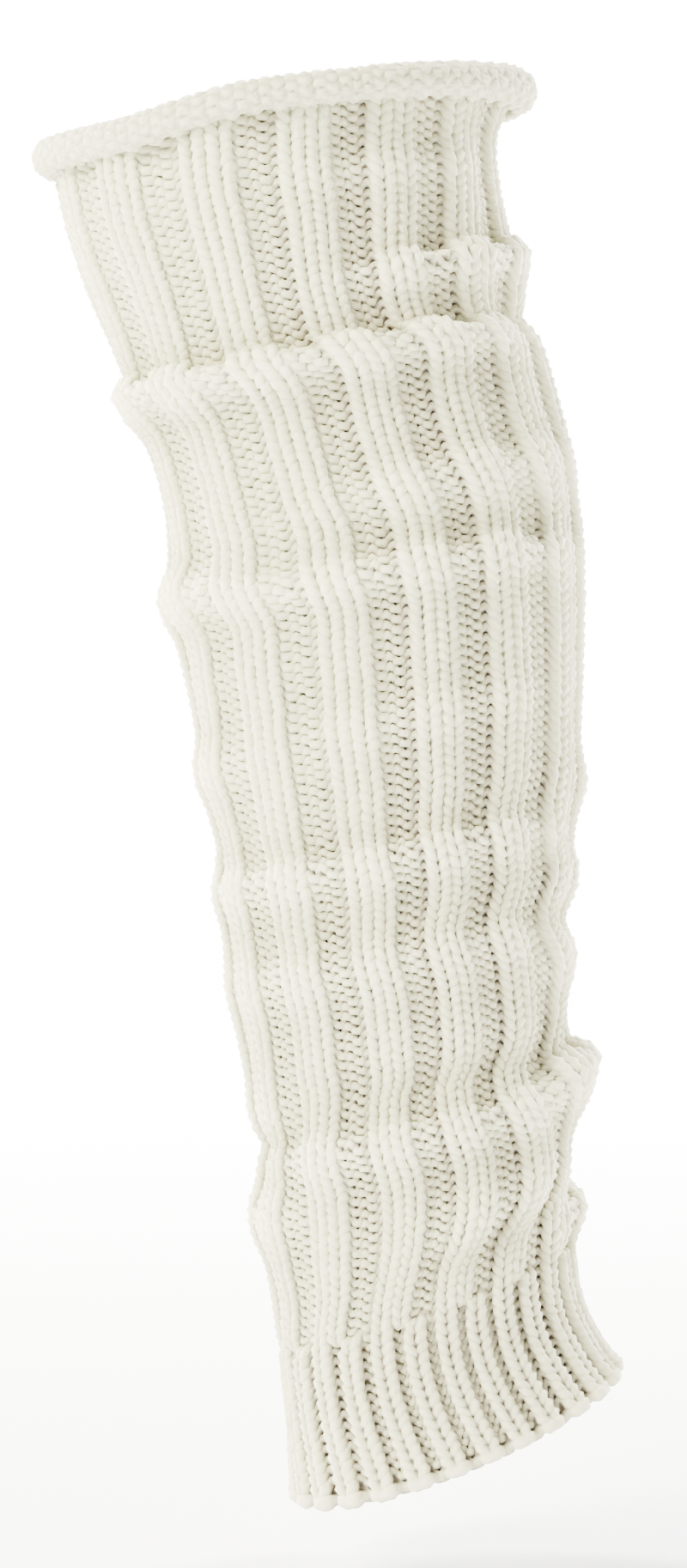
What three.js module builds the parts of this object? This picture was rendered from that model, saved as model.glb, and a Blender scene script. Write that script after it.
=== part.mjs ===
// A hand-knit leg warmer as it stands on a leg: a rolled stocking-stitch edge under the knee, a long leg in
// two-by-two rib that slouches into folds, and an ankle cuff in one-by-one rib.
// Millimetres, +Z up, -Y is the front. The origin is on the leg's own axis at the widest part of the calf,
// where the knit grips. "down" is the distance below the top of the edge, measured along the leg's axis.
// Angles go round the leg from the front, positive towards +X.
import * as THREE from "three";
import { mergeVertices } from "three/addons/utils/BufferGeometryUtils.js";

// Driving sizes
const LEG_LEAN = 7.5; // degrees that the axis leans from upright, foot towards +X
const CALF_DOWN = 140; // where the calf is widest
const LEG_DOWN = 12; // the ribbed leg starts here, under the rolled edge
const CUFF_DOWN = 349; // the ankle cuff starts here
const HEM_DOWN = 391;
const SEAM_GAP = 0.3;
const DEPTH_SHARE = 0.97; // front to back, as a share of side to side

// Knitting
const WALES = 56; // columns of stitches round the leg
const RIB_REPEAT = 4; // two knit and two purl wales in the leg
const CUFF_REPEAT = 2; // one knit and one purl wale in the cuff
const WALL = 4.4; // from the face of a rib to the inside
const RIB_RAISE = 1.9; // a knit rib stands this far over the purl channel beside it
const CUFF_RAISE = 1.7;
const RIB_CREEP = { degrees: 1.9, waves: 3, from: 20 }; // the knit is stretched unevenly round the leg

// In each repeat of the leg two wales stand up and two lie back; in the cuff, one and one.
const LEG_CORNERS = [
  { wales: 0.2, raised: true },
  { wales: 1.8, raised: true },
  { wales: 2.15, raised: false },
  { wales: 3.85, raised: false },
];
const CUFF_CORNERS = [
  { wales: 0.2, raised: true },
  { wales: 0.8, raised: true },
  { wales: 1.5, raised: false },
];

// The rolled edge
const ROLL_DOWN = 6; // the wall starts to curl outwards here
const ROLL_WALL = 3.0;
const ROLL_TURN = 275; // degrees
const ROLL_TIP = 0.45; // the wall's thickness at its tip, as a share

// Cream wool, a little paler where the stitches lie open
const EDGE_CREAM = 0xf1efe3;
const LEG_CREAM = 0xeeecdf;
const CUFF_CREAM = 0xebe9db;

// Meshing
const LEG_RINGS = 54;
const CUFF_RINGS = 9;
const ROLL_SPOKES = 44;
const ROLL_STEPS = 9;
const LEG_INNER_SPOKES = 28;
const CUFF_INNER_SPOKES = 56;
const RING_SEARCH_STEP = 0.5;
const FOLD_REACH = 9; // rings gather within this distance of a fold
const FOLD_PULL = 0.42; // how strongly they gather
const MOST_LEAN = 0.9; // the wall's thickness turns with a fold up to this slope
const CALM_REACH = 7; // and not at all at the cuff's seam, so that both rims are level there

// Level by level: how far the middle is off the straight axis, the half width over the ribs, how far the
// level rises towards +X, how far the ribs have turned round the leg, and how far its front dips.
const LEVELS = [
  { down: 0, bow: -1.0, half: 65.2, rise: 6.6, turn: 7, dip: 4.4 },
  { down: 12, bow: -2.6, half: 63.8, rise: 6.9, turn: 7, dip: 4.5 },
  { down: 25, bow: -3.2, half: 62.4, rise: 7.5, turn: 7, dip: 4.6 },
  { down: 45, bow: -0.8, half: 60.8, rise: 9, turn: 7, dip: 4 },
  { down: 62, bow: 3.0, half: 59.5, rise: 11, turn: 6.5, dip: 3.5 },
  { down: 80, bow: 6.2, half: 58.6, rise: 12, turn: 7.5, dip: 3 },
  { down: 105, bow: 10.4, half: 58.3, rise: 12, turn: 8, dip: 2 },
  { down: 140, bow: 10.5, half: 59.6, rise: 12, turn: 10.5, dip: 1 },
  { down: 175, bow: 9.5, half: 56.3, rise: 12, turn: 12, dip: 0 },
  { down: 215, bow: 6.2, half: 52.4, rise: 12.2, turn: 13, dip: 0 },
  { down: 250, bow: 2.4, half: 49.6, rise: 13.5, turn: 16, dip: 0 },
  { down: 285, bow: 1.2, half: 46.8, rise: 16, turn: 18, dip: 0 },
  { down: 320, bow: -1.6, half: 45.8, rise: 19, turn: 18.5, dip: 0 },
  { down: 345, bow: -2.4, half: 45.1, rise: 21, turn: 12, dip: 0.6 },
  { down: 368, bow: -2.6, half: 45.6, rise: 21.7, turn: 12.5, dip: 2.4 },
  { down: 382, bow: -0.8, half: 48.3, rise: 21.7, turn: 15, dip: 3.6 },
  { down: 394, bow: 1.8, half: 51.9, rise: 21.7, turn: 17, dip: 4.2 },
];

// The rolled edge round the leg, from the front by the +X side: how far the edge flares out, how high it
// stands there, and the radius of its curl, to the middle of the wall.
const ROLLS = [
  { angle: 0, flare: 0, lift: 2.0, radius: 3.0 },
  { angle: 45, flare: 1.2, lift: 2.2, radius: 3.4 },
  { angle: 90, flare: 3.6, lift: 0.6, radius: 4.6 },
  { angle: 135, flare: 2.2, lift: 0, radius: 3.8 },
  { angle: 180, flare: 1, lift: 0, radius: 3.4 },
  { angle: 225, flare: 0.6, lift: -0.8, radius: 3.5 },
  { angle: 270, flare: 0.2, lift: -2.4, radius: 3.5 },
  { angle: 315, flare: 0, lift: -1.2, radius: 3.2 },
];

// Folds where the long knit has slipped down: where the crest is, how much lower it runs a quarter turn on,
// the angle it is centred on, how far it reaches round to each side, how far it stands out, and how
// quickly it dies away above and below the crest.
const FOLDS = [
  { name: "swell under the edge", at: 28, run: 0, angle: 32, reach: 30, out: 1.4, above: 5, below: 5 },
  { name: "short ledge", at: 58, run: 0, angle: 64, reach: 50, out: 5.2, above: 3.4, below: 6 },
  { name: "slouch ridge", at: 78, run: 2, angle: -35, reach: 100, out: 6.6, above: 3.4, below: 7.5 },
  { name: "ridge round the back", at: 70, run: 0, angle: 168, reach: 62, out: 5, above: 3.6, below: 8 },
  { name: "calf band", at: 119, run: 0, angle: 36, reach: 44, out: 2.6, above: 6, below: 7 },
  { name: "calf band behind", at: 108, run: -4, angle: 178, reach: 58, out: 2.8, above: 5, below: 8 },
  { name: "hollow under it", at: 134, run: 6, angle: 30, reach: 40, out: -1.3, above: 6, below: 5 },
  { name: "middle band", at: 142, run: 3, angle: 0, reach: 62, out: 3, above: 4, below: 6 },
  { name: "middle band, left", at: 136, run: 0, angle: -92, reach: 42, out: 4.6, above: 6, below: 7 },
  { name: "middle band behind", at: 148, run: 5, angle: 160, reach: 50, out: 3, above: 5, below: 7 },
  { name: "shin swell", at: 184, run: 0, angle: 12, reach: 38, out: 1.7, above: 6, below: 8 },
  { name: "shin swell, left", at: 187, run: 0, angle: -90, reach: 38, out: 3, above: 7, below: 8 },
  { name: "shin swell, right", at: 213, run: 0, angle: 92, reach: 34, out: 3, above: 10, below: 6 },
  { name: "swell behind", at: 181, run: -3, angle: 175, reach: 46, out: 2.4, above: 6, below: 8 },
  { name: "lower band", at: 222, run: 0, angle: -20, reach: 80, out: 3.6, above: 4, below: 7 },
  { name: "shin swell two, left", at: 208, run: 0, angle: -90, reach: 34, out: 1.6, above: 5, below: 5 },
  { name: "lower band, right", at: 239, run: 0, angle: 90, reach: 36, out: 3.4, above: 6, below: 6 },
  { name: "lower band behind", at: 218, run: 4, angle: 172, reach: 44, out: 3.2, above: 4.5, below: 8 },
  { name: "third band", at: 251, run: 2, angle: -10, reach: 78, out: 2.4, above: 6, below: 8 },
  { name: "third band, right", at: 264, run: 0, angle: 90, reach: 36, out: 4, above: 6, below: 7 },
  { name: "third band behind", at: 254, run: -4, angle: 166, reach: 44, out: 3.4, above: 5, below: 8 },
  { name: "hollow over the ankle", at: 285, run: 4, angle: 8, reach: 46, out: -1.8, above: 7, below: 5 },
  { name: "ankle swell, left", at: 283, run: 0, angle: -88, reach: 36, out: 3.4, above: 6, below: 6 },
  { name: "heel bulge", at: 297, run: 0, angle: 95, reach: 42, out: 10.2, above: 5, below: 12.5 },
  { name: "ankle band", at: 301, run: 4, angle: 10, reach: 64, out: 4, above: 4, below: 9 },
  { name: "ankle swell two, left", at: 313, run: 0, angle: -88, reach: 38, out: 4.2, above: 7, below: 9 },
  { name: "ankle band behind", at: 292, run: 3, angle: 176, reach: 44, out: 4, above: 5, below: 9 },
  { name: "slanting fold", at: 328, run: -6, angle: 38, reach: 34, out: 4.2, above: 14, below: 4.5 },
  { name: "low heel bulge", at: 341, run: 0, angle: 92, reach: 34, out: 5.5, above: 5, below: 7 },
  { name: "low fold behind", at: 327, run: 4, angle: 170, reach: 46, out: 3.4, above: 5, below: 8 },
];

const rad = THREE.MathUtils.degToRad;

// Degrees between two angles, from -180 to 180.
function turnBetween(angle, from) {
  return THREE.MathUtils.euclideanModulo(angle - from + 180, 360) - 180;
}

// A column of LEVELS at any distance down, on a smooth curve through its rows.
function level(down, column) {
  const last = LEVELS.length - 1;
  const at = THREE.MathUtils.clamp(down, LEVELS[0].down, LEVELS[last].down);
  let row = 0;
  while (row < last - 1 && LEVELS[row + 1].down <= at) row += 1;
  const gap = (k) => LEVELS[k + 1].down - LEVELS[k].down;
  const grade = (k) => (LEVELS[k + 1][column] - LEVELS[k][column]) / gap(k);
  const slope = (k) => {
    if (k === 0) return grade(0);
    if (k === last) return grade(last - 1);
    return (grade(k - 1) * gap(k) + grade(k) * gap(k - 1)) / (gap(k - 1) + gap(k));
  };
  const t = (at - LEVELS[row].down) / gap(row);
  const start = (1 + 2 * t) * (1 - t) ** 2 * LEVELS[row][column];
  const end = t * t * (3 - 2 * t) * LEVELS[row + 1][column];
  const bend = t * (1 - t) ** 2 * slope(row) - t * t * (1 - t) * slope(row + 1);
  return start + end + gap(row) * bend;
}

// How far the folds push the wall out.
function foldsAt(down, angle) {
  let out = 0;
  for (const fold of FOLDS) {
    const aside = turnBetween(angle, fold.angle);
    const below = down - fold.at - fold.run * Math.sin(rad(aside));
    const length = below < 0 ? fold.above : fold.below;
    out += fold.out * Math.exp(-((below / length) ** 2)) * Math.exp(-((aside / fold.reach) ** 4));
  }
  return out;
}

// The level's middle, the directions out of it to the side and to the back, and the way up through it.
function frameAt(down) {
  const lean = rad(LEG_LEAN);
  const along = down - CALF_DOWN;
  const aside = level(down, "bow") - level(CALF_DOWN, "bow");
  const rise = rad(level(down, "rise"));
  const dip = rad(level(down, "dip"));
  const side = new THREE.Vector3(Math.cos(rise), 0, Math.sin(rise));
  const levelUp = new THREE.Vector3(-Math.sin(rise), 0, Math.cos(rise));
  const back = new THREE.Vector3(0, Math.cos(dip), 0).addScaledVector(levelUp, Math.sin(dip));
  return {
    middle: new THREE.Vector3(
      Math.sin(lean) * along + Math.cos(lean) * aside,
      0,
      -Math.cos(lean) * along + Math.sin(lean) * aside,
    ),
    side,
    back,
    up: side.clone().cross(back),
  };
}

// A column of ROLLS at any angle, on soft steps between its rows.
function rollAt(angle, column) {
  const part = THREE.MathUtils.euclideanModulo(angle, 360) / (360 / ROLLS.length);
  const row = Math.floor(part);
  const [from, to] = [ROLLS[row][column], ROLLS[(row + 1) % ROLLS.length][column]];
  return THREE.MathUtils.lerp(from, to, THREE.MathUtils.smoothstep(part - row, 0, 1));
}

// A point over the middle of the wall: "over" is measured square to the wall, folds and all.
function wallPoint(down, angle, over) {
  const { middle, side, back, up } = frameAt(down);
  const half = level(down, "half") - WALL / 2;
  const folds = foldsAt(down, angle);
  const slope = foldsAt(down + 1, angle) - foldsAt(down - 1, angle);
  const calm = THREE.MathUtils.smoothstep(Math.abs(down - CUFF_DOWN), 0, CALM_REACH);
  const turned = THREE.MathUtils.clamp(slope / 2, -MOST_LEAN, MOST_LEAN) * calm;
  const length = Math.hypot(1, turned);
  const out = folds + over / length;
  const sin = Math.sin(rad(angle));
  const cos = Math.cos(rad(angle));
  return middle
    .addScaledVector(side, sin * (half + out))
    .addScaledVector(back, -cos * (half * DEPTH_SHARE + out))
    .addScaledVector(up, (over * turned) / length);
}

// The angle of a place in the knitting, counted in wales; 1 is the middle of the rib nearest the front.
function waleAngle(wales, down) {
  const even = level(down, "turn") + ((wales - 1) * 360) / WALES;
  return even - RIB_CREEP.degrees * Math.sin(rad(RIB_CREEP.waves * (even - RIB_CREEP.from)));
}

// The places where a ribbed wall's outer points stand, and whether each is up on a rib.
function ribPlaces(repeat, corners) {
  const places = [];
  for (let first = 0; first < WALES; first += repeat)
    for (const corner of corners)
      places.push({ wales: first + corner.wales, raised: corner.raised });
  return places;
}

// Distances down from start to end, closer together on the folds.
function ringDowns(start, end, count) {
  const sums = [0];
  for (let down = start + RING_SEARCH_STEP / 2; down < end; down += RING_SEARCH_STEP) {
    const near = FOLDS.map((fold) => Math.exp(-(((down - fold.at) / FOLD_REACH) ** 2)));
    const pull = near.reduce((sum, value, k) => sum + value * Math.abs(FOLDS[k].out), 0);
    sums.push(sums[sums.length - 1] + 1 + FOLD_PULL * pull);
  }
  const whole = sums[sums.length - 1];
  const downs = [start];
  for (let ring = 1; ring < count - 1; ring += 1) {
    const wanted = (whole * ring) / (count - 1);
    const k = sums.findIndex((sum) => sum >= wanted);
    const part = (wanted - sums[k - 1]) / (sums[k] - sums[k - 1]);
    downs.push(start + (k - 1 + part) * RING_SEARCH_STEP);
  }
  return [...downs, end];
}

// Rows of points, each a closed loop, become a skin between neighbours; two rows may differ in count.
// Each point carries its share of the way round, so that the shorter row is matched by place.
function skin(rows, triangles) {
  for (let r = 0; r + 1 < rows.length; r += 1) {
    const [a, b] = [rows[r], rows[r + 1]];
    const share = (row, k) => row[k % row.length].share + Math.floor(k / row.length);
    let i = 0;
    let j = 0;
    while (i < a.length || j < b.length) {
      const next = (row, k) => row[k % row.length].point;
      const stepA = j >= b.length || (i < a.length && share(a, i + 1) <= share(b, j + 1));
      if (stepA) {
        triangles.push(next(a, i), next(b, j), next(a, i + 1));
        i += 1;
      } else {
        triangles.push(next(a, i), next(b, j), next(b, j + 1));
        j += 1;
      }
    }
  }
}

// A closed solid from rows of points that run down the outside and back up the inside.
function solid(name, rows, colour) {
  const triangles = [];
  skin([...rows, rows[0]], triangles);
  const raw = new THREE.BufferGeometry();
  raw.setAttribute(
    "position",
    new THREE.Float32BufferAttribute(triangles.flatMap((p) => p.toArray()), 3),
  );
  const geometry = mergeVertices(raw, 1e-4);
  geometry.computeVertexNormals();
  const material = new THREE.MeshStandardMaterial({ color: colour, roughness: 0.95, metalness: 0 });
  const mesh = new THREE.Mesh(geometry, material);
  mesh.name = name;
  return mesh;
}

// A ribbed tube: ribs stand up in the outer points over a plain inside.
function ribbedTube(name, downs, places, raise, innerSpokes, colour) {
  const outside = downs.map((down) =>
    places.map(({ wales, raised }) => ({
      share: wales / WALES,
      point: wallPoint(down, waleAngle(wales, down), WALL / 2 - (raised ? 0 : raise)),
    })),
  );
  const inside = downs.map((down) =>
    Array.from({ length: innerSpokes }, (_, k) => {
      const wales = (k * WALES) / innerSpokes;
      return { share: wales / WALES, point: wallPoint(down, waleAngle(wales, down), -WALL / 2) };
    }),
  );
  return solid(name, [...outside, ...inside.reverse()], colour);
}

// The rolled edge: the wall runs up, leans out a little, then curls outwards and down on itself.
function rolledEdge(name, colour) {
  const { up: way } = frameAt(ROLL_DOWN);
  const foot = { face: 180, thick: 1, curled: false };
  const curl = Array.from({ length: ROLL_STEPS + 1 }, (_, k) => ({
    face: 180 - (ROLL_TURN * k) / ROLL_STEPS,
    thick: k < ROLL_STEPS ? 1 : ROLL_TIP,
    curled: true,
  }));
  const row = ({ face, thick, curled }, away) =>
    Array.from({ length: ROLL_SPOKES }, (_, k) => {
      const angle = (k * 360) / ROLL_SPOKES;
      const radius = rollAt(angle, "radius");
      const reach = curled ? radius : 0;
      const over = reach + (away * thick * ROLL_WALL) / 2;
      const out = curled ? rollAt(angle, "flare") + radius : 0;
      const up = curled ? rollAt(angle, "lift") : ROLL_DOWN - LEG_DOWN + SEAM_GAP;
      const point = wallPoint(ROLL_DOWN, angle, out + over * Math.cos(rad(face)));
      return { share: k / ROLL_SPOKES, point: point.addScaledVector(way, up + over * Math.sin(rad(face))) };
    });
  const lining = [foot, ...curl].map((step) => row(step, -1));
  const facing = [foot, ...curl].map((step) => row(step, 1));
  return solid(name, [...facing, ...lining.reverse()], colour);
}

const legWarmer = new THREE.Group();
legWarmer.name = "leg_warmer";
legWarmer.add(rolledEdge("rolled_top_edge", EDGE_CREAM));
legWarmer.add(
  ribbedTube(
    "ribbed_leg",
    ringDowns(LEG_DOWN, CUFF_DOWN - SEAM_GAP / 2, LEG_RINGS),
    ribPlaces(RIB_REPEAT, LEG_CORNERS),
    RIB_RAISE,
    LEG_INNER_SPOKES,
    LEG_CREAM,
  ),
);
legWarmer.add(
  ribbedTube(
    "ankle_cuff",
    ringDowns(CUFF_DOWN + SEAM_GAP / 2, HEM_DOWN, CUFF_RINGS),
    ribPlaces(CUFF_REPEAT, CUFF_CORNERS),
    CUFF_RAISE,
    CUFF_INNER_SPOKES,
    CUFF_CREAM,
  ),
);

export default legWarmer;
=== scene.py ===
# %% [markdown]
# # A hand-knit leg warmer
#
# A leg warmer is a tube of chunky knitting with no foot. This one starts at the knee with a few plain rows
# that curl outwards by themselves, goes down the calf in two-by-two rib, and ends at the ankle in a cuff of
# one-by-one rib. It is longer than the leg it covers, so it slips down and lies in soft folds.
#
# The lesson knits it in Blender the way it is knitted by hand: first the shape of the cloth on the leg, then
# one long yarn that Geometry Nodes lead round and round that shape, loop after loop.

import math

import bpy
import numpy as np
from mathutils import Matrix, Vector


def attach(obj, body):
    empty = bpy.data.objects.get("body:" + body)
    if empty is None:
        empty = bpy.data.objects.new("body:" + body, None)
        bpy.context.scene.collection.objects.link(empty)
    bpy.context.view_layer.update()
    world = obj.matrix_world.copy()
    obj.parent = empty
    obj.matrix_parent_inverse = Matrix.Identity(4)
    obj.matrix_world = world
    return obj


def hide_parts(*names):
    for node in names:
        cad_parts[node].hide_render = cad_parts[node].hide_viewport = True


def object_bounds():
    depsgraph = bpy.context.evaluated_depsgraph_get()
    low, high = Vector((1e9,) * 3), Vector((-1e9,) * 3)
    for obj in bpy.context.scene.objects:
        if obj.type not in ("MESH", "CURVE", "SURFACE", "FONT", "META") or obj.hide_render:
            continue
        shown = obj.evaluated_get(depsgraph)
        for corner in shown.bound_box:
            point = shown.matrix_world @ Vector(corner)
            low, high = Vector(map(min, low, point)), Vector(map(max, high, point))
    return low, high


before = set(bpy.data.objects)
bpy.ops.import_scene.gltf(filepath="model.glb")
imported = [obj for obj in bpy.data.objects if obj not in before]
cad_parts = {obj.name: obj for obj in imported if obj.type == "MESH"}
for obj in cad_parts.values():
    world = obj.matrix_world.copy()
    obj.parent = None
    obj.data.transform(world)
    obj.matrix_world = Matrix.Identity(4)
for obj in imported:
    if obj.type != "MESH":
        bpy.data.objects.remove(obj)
CAD_BOX = [list(corner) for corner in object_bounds()]
MM = 0.001
print("solid model:", [[round(v, 4) for v in corner] for corner in CAD_BOX])

# %% [markdown]
# ## The camera
#
# The camera stands level, a little over a metre in front of the shin, the way a product is shot for a
# catalogue. A long lens keeps the tube's two sides nearly parallel.

# %% Camera
LENS_DISTANCE = 1.1
VIEW_HEIGHT = 0.4565  # the height that fills the frame, at the leg's axis
VIEW_ACROSS, VIEW_UP = -0.0097, -0.0611  # the middle of the frame
SENSOR = 36.0

camera_data = bpy.data.cameras.new("shop_camera")
camera_data.sensor_width = SENSOR
camera_data.lens = SENSOR * LENS_DISTANCE / VIEW_HEIGHT
camera = bpy.data.objects.new("shop_camera", camera_data)
camera.location = (VIEW_ACROSS, -LENS_DISTANCE, VIEW_UP)
camera.rotation_euler = (math.radians(90), 0, 0)
bpy.context.collection.objects.link(camera)
bpy.context.scene.camera = camera
print("lens", round(camera_data.lens, 1), "mm")

# %% [markdown]
# ## The shape of the cloth
#
# Cloth on a leg is a tube whose middle wanders, whose width follows the calf, and whose wall bulges where it
# has slid into folds. A few short tables say that much. The folds could be sculpted, or left to a cloth
# simulation, but a table can be read and changed, and it gives the same folds every time.
#
# "down" is the distance below the top of the edge, along the leg's axis. Angles go round the leg from the
# front, positive towards +X. Lengths are in millimetres until they become a mesh, and angles in degrees.

# %% Sizes of the leg warmer
LEG_LEAN = 7.5  # how far the axis leans from upright, foot towards +X
CALF_DOWN = 140.0  # where the calf is widest: the origin
ROLL_DOWN = 6.0  # the wall starts to curl outwards here
LEG_DOWN = 12.0  # the rolled edge ends and the leg starts
RIB_DOWN = 7.5  # the ribs start under the curl
CUFF_DOWN = 349.0
HEM_DOWN = 391.0
DEPTH_SHARE = 0.97  # front to back, as a share of side to side
WALL = 4.4  # how thick the cloth is, ribs and all
ROLL_TURN = 305.0  # how far round the top edge curls

# how far the middle is off the straight axis, the half width, how far the level rises towards +X, how far
# the ribs have turned round the leg, and how far the level's front dips
LEVELS = """
down  bow   half  rise  turn  dip
0     -1.0  65.2  6.6   7     4.4
12    -2.6  63.8  6.9   7     4.5
25    -3.2  62.4  7.5   7     4.6
45    -0.8  60.8  9     7     4
62    3.0   59.5  11    6.5   3.5
80    6.2   58.6  12    7.5   3
105   10.4  58.3  12    8     2
140   10.5  59.6  12    10.5  1
175   9.5   56.3  12    12    0
215   6.2   52.4  12.2  13    0
250   2.4   49.6  13.5  16    0
285   1.2   46.8  16    18    0
320   -1.6  45.8  19    18.5  0
345   -2.4  45.1  21    12    0.6
368   -2.6  45.6  21.7  12.5  2.4
382   -0.8  48.3  21.7  15    3.6
394   1.8   51.9  21.7  17    4.2
"""

# where each fold's crest is, how much lower it runs a quarter turn on, the angle it is centred on, how far
# it reaches round to each side, how far it stands out, and how quickly it dies away above and below
FOLDS = """
at   run  angle  reach  out   above  below
28   0    32     30     1.4   5      5
58   0    64     50     5.2   3.0    6
78   2    -35    100    6.8   2.8    7.5
77   0    92     46     -3.8  6      6
70   0    168    62     5     3.6    8
119  0    36     44     2.6   6      7
108  -4   178    58     2.8   5      8
134  6    30     40     -1.3  6      5
142  3    0      62     3     4      6
136  0    -92    42     4.6   6      7
148  5    160    50     3     5      7
184  0    12     38     1.7   6      8
187  0    -90    38     3     7      8
213  0    92     34     3     10     6
181  -3   175    46     2.4   6      8
222  0    -20    80     3.6   4      7
208  0    -90    34     -1    5      5
239  0    90     36     3.4   6      6
250  0    90     34     -1.5  5      5
218  4    172    44     3.2   4.5    8
251  2    -10    78     2.4   6      8
264  0    90     36     4     6      7
254  -4   166    44     3.4   5      8
285  4    8      46     -1.8  7      5
283  0    -88    36     1     6      6
293  0    -88    34     -2.2  4      4
300.5 0   95     42     11.6  7      10
301  4    10     64     4     4      9
313  0    -88    38     4.2   7      9
292  3    176    44     4     5      9
328  -6   38     34     4.2   14     4.5
341.5 0   92     34     5.8   5      4.5
327  4    170    46     3.4   5      8
"""

# the rolled edge: how far it flares out, how high it stands, and the radius of its curl
ROLLS = """
angle  flare  lift  radius
0      0      2.0   3.0
45     1.2    2.2   3.4
90     3.6    0.6   4.6
135    2.2    0     3.8
180    1      0     3.4
225    0.6    -2.6  3.5
270    0.2    -2.9  3.5
315    0      -3.5  3.2
360    0      2.0   3.0
"""

# how far the ribs have slipped round the leg, and how far they are pushed from the front to the sides, in
# degrees: they slip on the way down and start again under each fold
SLIPS = """
down  slip  spread
0     0     0
18    -0.5  0
36    -1.2  0
48    -3    -3
60    -5    -4
76    -6.5  -2
82    -1    0
100   -2.6  0
118   -2    0
124   0.5   1
132   1     4
138   0.3   3
144   0.8   -1
150   2     0
160   1     2
184   0     3
204   0.7   3
214   -0.3  0
221   0.5   -3
228   1.4   0
234   1.4   3
246   -1    -3
252   0     -3
259   1.4   1
276   0.2   5
283   -0.5  4
288   -3.6  0
302   -3.2  1
308   -1    4
312   0.2   7
326   1.4   8
331   1.8   6
336   -1    -1
346   -2.5  0
352   -4    0
400   -4    0
"""


def columns(text):
    """A table's columns by name."""
    names, *rows = [line.split() for line in text.strip().splitlines()]
    return dict(zip(names, np.array(rows, dtype=float).T))


levels, folds, rolls, slips = columns(LEVELS), columns(FOLDS), columns(ROLLS), columns(SLIPS)
print(len(levels["down"]), "levels,", len(folds["at"]), "folds,", len(rolls["angle"]) - 1, "roll places")

# %% [markdown]
# Between the rows of the table of levels runs a smooth curve. Each fold is a soft bump: steep above its
# crest and slower below, because the slack hangs down from the crest.


# %% The wall of the tube
CREST_LIFT = 0.3  # a fold's crest rises by this share of its bulge, so that a ledge hides what is behind it


def spaced(first, last, gap):
    """Evenly spaced values, both ends included."""
    return np.arange(first, last + gap / 2, gap)


def level(down, name):
    """A column of the levels at any distance down."""
    x, y = levels["down"], levels[name]
    gap = np.diff(x)
    grade = np.diff(y) / gap
    slope = np.empty_like(y)
    slope[0], slope[-1] = grade[0], grade[-1]
    slope[1:-1] = (grade[:-1] * gap[1:] + grade[1:] * gap[:-1]) / (gap[:-1] + gap[1:])
    at = np.clip(down, x[0], x[-1])
    row = np.clip(np.searchsorted(x, at, side="right") - 1, 0, len(gap) - 1)
    t = (at - x[row]) / gap[row]
    start = (1 + 2 * t) * (1 - t) ** 2 * y[row]
    end = t * t * (3 - 2 * t) * y[row + 1]
    bend = t * (1 - t) ** 2 * slope[row] - t * t * (1 - t) * slope[row + 1]
    return start + end + gap[row] * bend


def smooth(part):
    """A share from 0 to 1, eased at both ends."""
    part = np.clip(part, 0, 1)
    return part * part * (3 - 2 * part)


def bulge(down, angle):
    """How far the folds push the wall out."""
    out = 0
    for k in range(len(folds["at"])):
        fold = {name: values[k] for name, values in folds.items()}
        aside = (angle - fold["angle"] + 180) % 360 - 180
        below = down - fold["at"] - fold["run"] * np.sin(np.radians(aside))
        length = np.where(below < 0, fold["above"], fold["below"])
        out = out + fold["out"] * np.exp(-((below / length) ** 2)) * np.exp(-((aside / fold["reach"]) ** 4))
    return out


def axes_at(down):
    """The middle of a level, and the ways to its side, its back and up through it."""
    lean = math.radians(LEG_LEAN)
    along = down - CALF_DOWN
    aside = level(down, "bow") - level(CALF_DOWN, "bow")
    rise, dip = np.radians(level(down, "rise")), np.radians(level(down, "dip"))
    zero = np.zeros_like(rise)
    middle_x = math.sin(lean) * along + math.cos(lean) * aside
    middle_z = -math.cos(lean) * along + math.sin(lean) * aside
    middle = np.stack([middle_x, zero, middle_z], -1)
    side = np.stack([np.cos(rise), zero, np.sin(rise)], -1)
    up = np.stack([-np.sin(rise), zero, np.cos(rise)], -1)
    back = up * np.sin(dip)[..., None]
    back[..., 1] = np.cos(dip)
    return middle, side, back, np.cross(side, back)


def wall_point(down, angle, out=0.0, up=0.0):
    """A point of the middle of the wall, moved out from the axis and up."""
    middle, side, back, upward = axes_at(down)
    half = level(down, "half") - WALL / 2
    pushed = bulge(down, angle)
    sin, cos = np.sin(np.radians(angle)), np.cos(np.radians(angle))
    return (
        middle
        + side * (sin * (half + pushed + out))[..., None]
        - back * (cos * (half * DEPTH_SHARE + pushed + out))[..., None]
        + upward * (up + CREST_LIFT * pushed)[..., None]
    )


print("calf width", round(2 * float(level(CALF_DOWN, "half")), 1), "mm")

# %% [markdown]
# ## The knitting chart
#
# A knitter reads a chart: stitches across, rows down. Here the chart is a sheet of points on the cloth, with
# a place on the leg for every stitch and row. Fifty-six stitches go round. Rows are spaced by the length of
# the cloth itself, folds and all, so a stitch is as tall on a fold as beside it.
#
# Ribs turn a little round the leg on their way down, and a hand knit is never stretched evenly, so they also
# creep to and fro. A knit stitch spreads and pushes the purl stitches beside it together. Where the cloth
# has slipped, whole ribs move sideways together, and the slips are softened up and down, as cloth does.

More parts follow.
